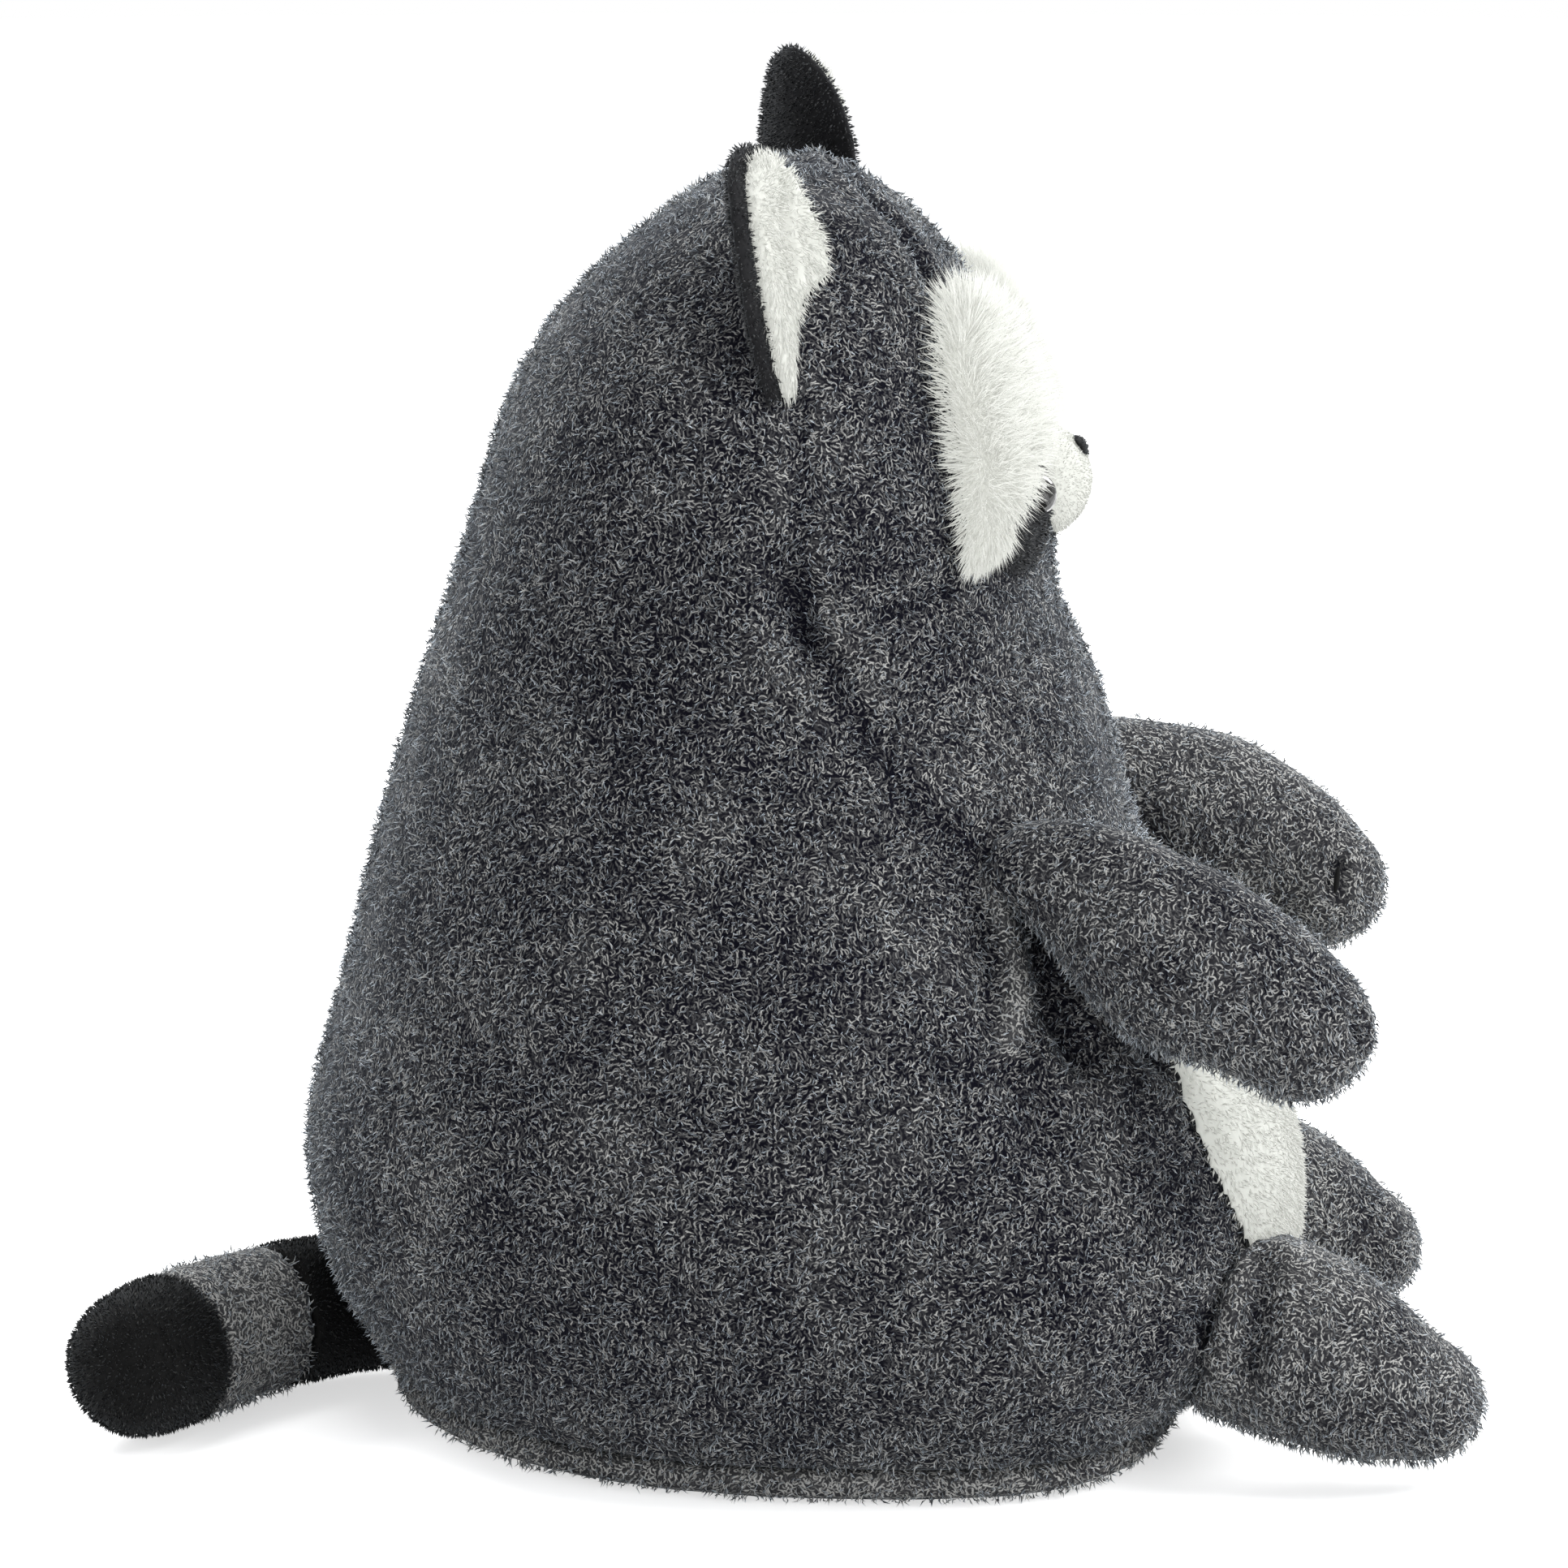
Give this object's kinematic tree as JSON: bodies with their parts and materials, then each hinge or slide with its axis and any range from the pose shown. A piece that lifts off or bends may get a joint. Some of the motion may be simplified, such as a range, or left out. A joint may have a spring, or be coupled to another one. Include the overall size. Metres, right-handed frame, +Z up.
{
  "type": "plush raccoon",
  "caption": "Seated plush raccoon with a pear-shaped gray body, white brows, muzzle and belly, dark mask and ears, and a banded tail.",
  "frame": {"origin": "on the floor, under the middle of the toy's box", "axes": "+Z up, the toy faces -Y, its own right side is -X and its tail points to +Y"},
  "size_m": [0.258, 0.3852, 0.3722],
  "materials": {
    "gray_plush": "short curled pile, marled gray",
    "dark_velour": "short dense charcoal pile",
    "black_velour": "short dense black pile",
    "white_plush": "short soft white pile",
    "white_long_pile": "long soft white pile",
    "bead": "polished black"
  },
  "bodies": {
    "root": {"body": "gray_plush", "base_panel": "gray_plush", "belly_panel": "white_plush", "arm_right": "gray_plush", "arm_left": "gray_plush", "foot_right": "gray_plush", "foot_left": "gray_plush", "tail_base_band": "black_velour", "tail_middle_band": "gray_plush", "tail_tip": "black_velour", "ear_back_right": "dark_velour", "ear_back_left": "dark_velour", "ear_lining_right": "white_plush", "ear_lining_left": "white_plush", "brow_patch_right": "white_long_pile", "brow_patch_left": "white_long_pile", "mask_patch_right": "dark_velour", "mask_patch_left": "dark_velour", "eye_right": "bead", "eye_left": "bead", "muzzle": "white_plush", "nose": "black_velour"}
  },
  "joints": []
}
